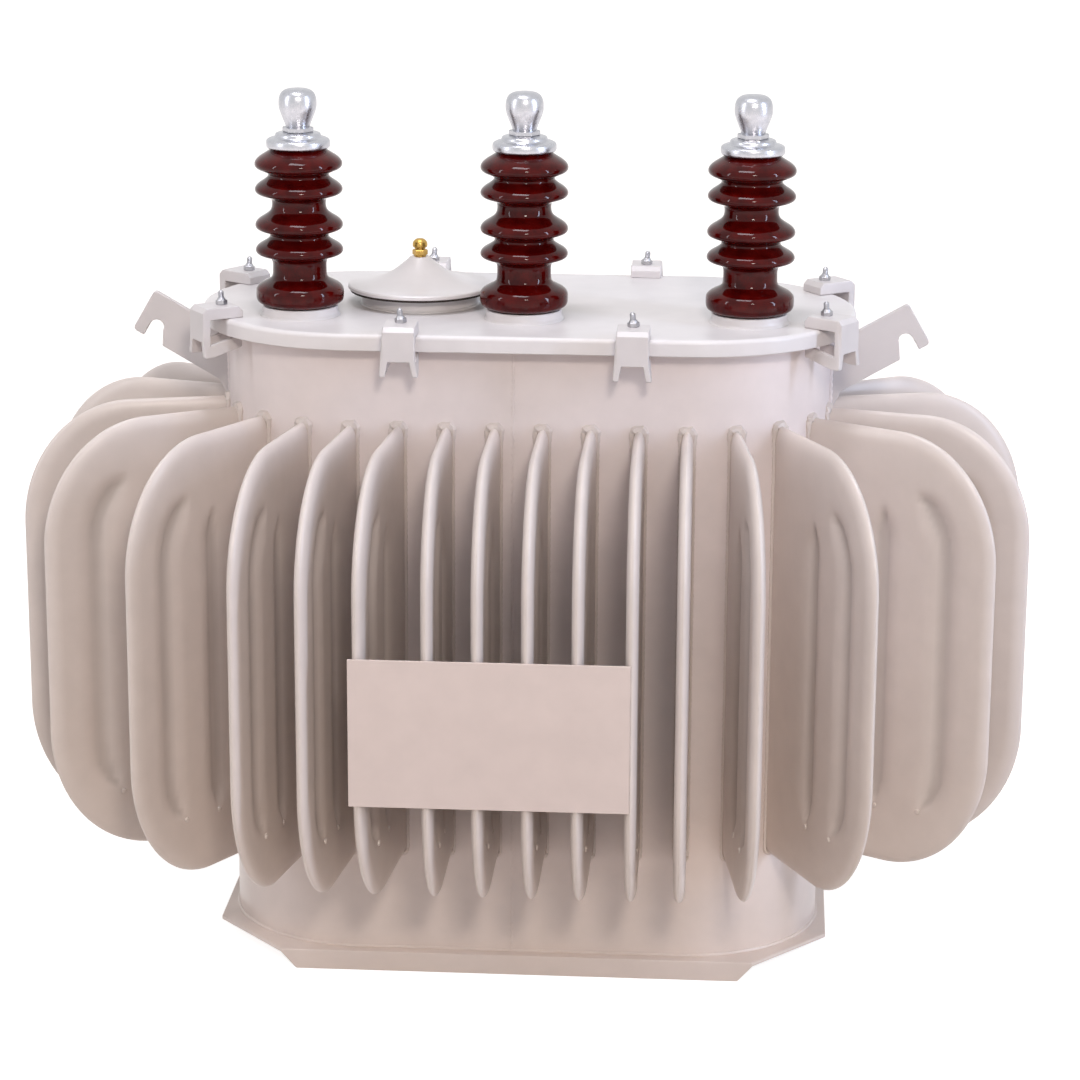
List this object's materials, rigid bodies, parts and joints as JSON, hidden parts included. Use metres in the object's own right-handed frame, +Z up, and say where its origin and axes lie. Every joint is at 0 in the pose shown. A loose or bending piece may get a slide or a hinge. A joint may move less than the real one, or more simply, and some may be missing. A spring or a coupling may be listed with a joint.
{
  "type": "distribution transformer",
  "caption": "Oil-filled distribution transformer: oblong grey tank ringed by pressed cooling fins, clamped lid, brown porcelain bushings, lifting lugs and a bare front plate.",
  "frame": {"origin": "on the ground under the middle of the tank", "axes": "+Z up, -Y towards the front with the bare plate, +X to the right seen from the front"},
  "size_m": [1.3488, 0.9359, 1.1864],
  "materials": {
    "tank_paint": "satin",
    "plate_paint": "satin",
    "porcelain": "gloss",
    "terminal_metal": "satin",
    "brass": "satin"
  },
  "bodies": {
    "root": {"base_plate": "tank_paint", "fin_back_1": "tank_paint", "fin_back_2": "tank_paint", "fin_back_3": "tank_paint", "fin_back_4": "tank_paint", "fin_back_5": "tank_paint", "fin_back_6": "tank_paint", "fin_back_7": "tank_paint", "fin_back_8": "tank_paint", "fin_front_1": "tank_paint", "fin_front_2": "tank_paint", "fin_front_3": "tank_paint", "fin_front_4": "tank_paint", "fin_front_5": "tank_paint", "fin_front_6": "tank_paint", "fin_front_7": "tank_paint", "fin_front_8": "tank_paint", "fin_left_1": "tank_paint", "fin_left_2": "tank_paint", "fin_left_3": "tank_paint", "fin_left_4": "tank_paint", "fin_left_5": "tank_paint", "fin_left_6": "tank_paint", "fin_left_7": "tank_paint", "fin_left_8": "tank_paint", "fin_right_1": "tank_paint", "fin_right_2": "tank_paint", "fin_right_3": "tank_paint", "fin_right_4": "tank_paint", "fin_right_5": "tank_paint", "fin_right_6": "tank_paint", "fin_right_7": "tank_paint", "fin_right_8": "tank_paint", "handhole_cover": "tank_paint", "hv_bushing_1": "porcelain", "hv_bushing_2": "porcelain", "hv_bushing_3": "porcelain", "hv_terminal_1": "terminal_metal", "hv_terminal_2": "terminal_metal", "hv_terminal_3": "terminal_metal", "lid": "tank_paint", "lid_clamp_1": "tank_paint", "lid_clamp_2": "tank_paint", "lid_clamp_3": "tank_paint", "lid_clamp_4": "tank_paint", "lid_clamp_5": "tank_paint", "lid_clamp_6": "tank_paint", "lid_clamp_7": "tank_paint", "lid_clamp_8": "tank_paint", "lifting_lug_left": "tank_paint", "lifting_lug_right": "tank_paint", "lv_bushing_1": "porcelain", "lv_bushing_2": "porcelain", "lv_bushing_3": "porcelain", "lv_bushing_4": "porcelain", "name_plate": "plate_paint", "relief_valve": "brass", "tank_flange": "tank_paint", "tank_wall": "tank_paint"}
  },
  "joints": []
}
